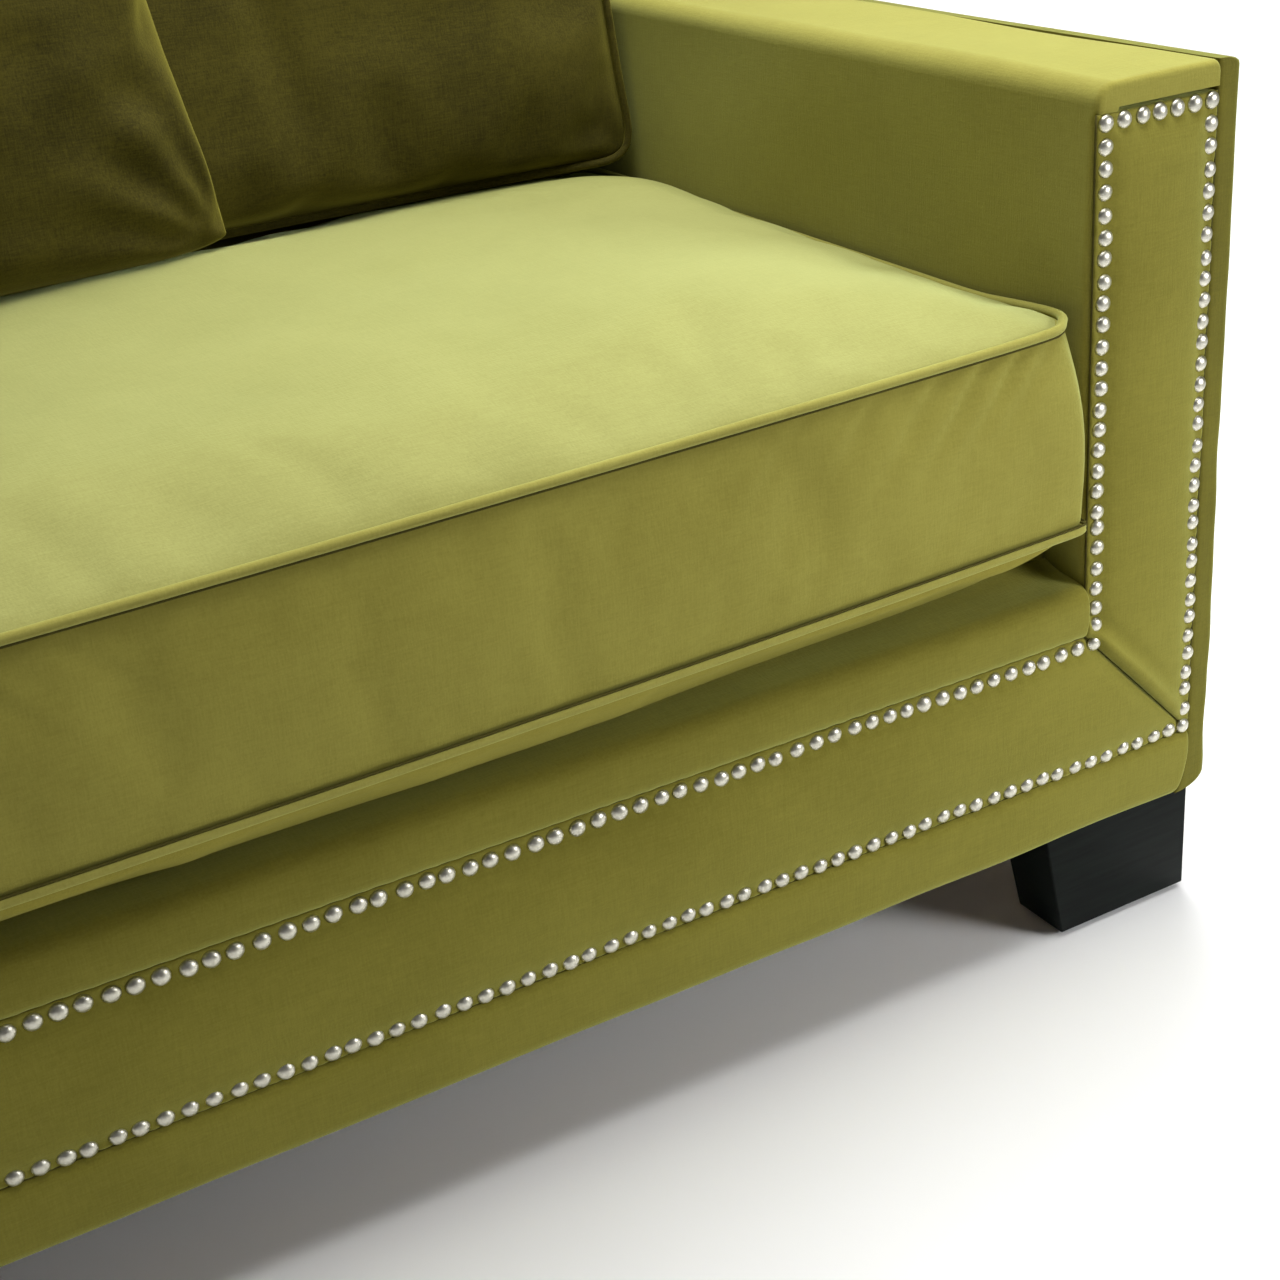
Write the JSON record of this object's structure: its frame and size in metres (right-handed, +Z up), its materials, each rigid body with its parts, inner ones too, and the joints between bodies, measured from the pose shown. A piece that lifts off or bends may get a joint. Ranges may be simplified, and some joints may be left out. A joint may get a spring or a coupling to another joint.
{
  "type": "sofa",
  "caption": "Velvet track-arm sofa with loose seat and back cushions, nailhead-edged padded bands and tapered block legs.",
  "frame": {"origin": "on the floor, at the middle of the sofa's box", "axes": "+X along the front of the sofa, to the right as seen from the front; the front faces -Y; +Z up"},
  "size_m": [2.13, 0.87, 0.9419],
  "materials": {
    "velvet": "short-pile chartreuse velvet over foam and wadding",
    "nickel_nails": "satin nickel domed nailheads",
    "black_lacquer": "black lacquered hardwood",
    "timber": "sawn hardwood",
    "steel": "spring and bolt steel",
    "nylon": "black nylon glide",
    "deck_canvas": "deck cloth over felt pad",
    "dust_cloth": "black non-woven dust cover"
  },
  "bodies": {
    "frame": {"leg_front_left": "black_lacquer", "glide_front_left": "nylon", "hanger_bolt_front_left": "steel", "corner_block_front_left": "timber", "leg_rear_left": "black_lacquer", "glide_rear_left": "nylon", "hanger_bolt_rear_left": "steel", "corner_block_rear_left": "timber", "front_post_left": "timber", "rear_post_left": "timber", "side_rail_left": "timber", "arm_top_rail_left": "timber", "arm_band_left": "velvet", "arm_pad_left": "velvet", "side_panel_left": "velvet", "nail_row_arm_left": "nickel_nails", "leg_front_right": "black_lacquer", "glide_front_right": "nylon", "hanger_bolt_front_right": "steel", "corner_block_front_right": "timber", "leg_rear_right": "black_lacquer", "glide_rear_right": "nylon", "hanger_bolt_rear_right": "steel", "corner_block_rear_right": "timber", "front_post_right": "timber", "rear_post_right": "timber", "side_rail_right": "timber", "arm_top_rail_right": "timber", "arm_band_right": "velvet", "arm_pad_right": "velvet", "side_panel_right": "velvet", "nail_row_arm_right": "nickel_nails", "front_rail": "timber", "rear_rail": "timber", "centre_stretcher": "timber", "back_top_rail": "timber", "back_lower_rail": "timber", "deck_pad": "deck_canvas", "dust_cover": "dust_cloth", "front_upper_border": "velvet", "front_band": "velvet", "front_lower_border": "velvet", "back_pad": "velvet", "back_panel": "velvet", "nail_row_rail_inner": "nickel_nails", "nail_row_rail_outer": "nickel_nails", "seat_spring_1": "steel", "seat_spring_2": "steel", "seat_spring_3": "steel", "seat_spring_4": "steel", "seat_spring_5": "steel", "seat_spring_6": "steel", "seat_spring_7": "steel", "seat_spring_8": "steel"},
    "seat_cushion_left": {"seat_cushion_left": "velvet"},
    "back_cushion_left": {"back_cushion_left": "velvet"},
    "throw_pillow_left": {"throw_pillow_left": "velvet"},
    "seat_cushion_right": {"seat_cushion_right": "velvet"},
    "back_cushion_right": {"back_cushion_right": "velvet"},
    "throw_pillow_right": {"throw_pillow_right": "velvet"}
  },
  "joints": [
    {"name": "seat_cushion_left_lift", "type": "slide", "parent": "frame", "child": "seat_cushion_left", "axis": [0, 0, 1], "range_m": [0, 0.36]},
    {"name": "back_cushion_left_lift", "type": "slide", "parent": "seat_cushion_left", "child": "back_cushion_left", "axis": [0, 0.1392, 0.9903], "range_m": [0, 0.38]},
    {"name": "throw_pillow_left_lift", "type": "slide", "parent": "seat_cushion_left", "child": "throw_pillow_left", "axis": [0, 0, 1], "range_m": [0, 0.45]},
    {"name": "seat_cushion_right_lift", "type": "slide", "parent": "frame", "child": "seat_cushion_right", "axis": [0, 0, 1], "range_m": [0, 0.36]},
    {"name": "back_cushion_right_lift", "type": "slide", "parent": "seat_cushion_right", "child": "back_cushion_right", "axis": [0, 0.1392, 0.9903], "range_m": [0, 0.38]},
    {"name": "throw_pillow_right_lift", "type": "slide", "parent": "seat_cushion_right", "child": "throw_pillow_right", "axis": [0, 0, 1], "range_m": [0, 0.45]}
  ]
}
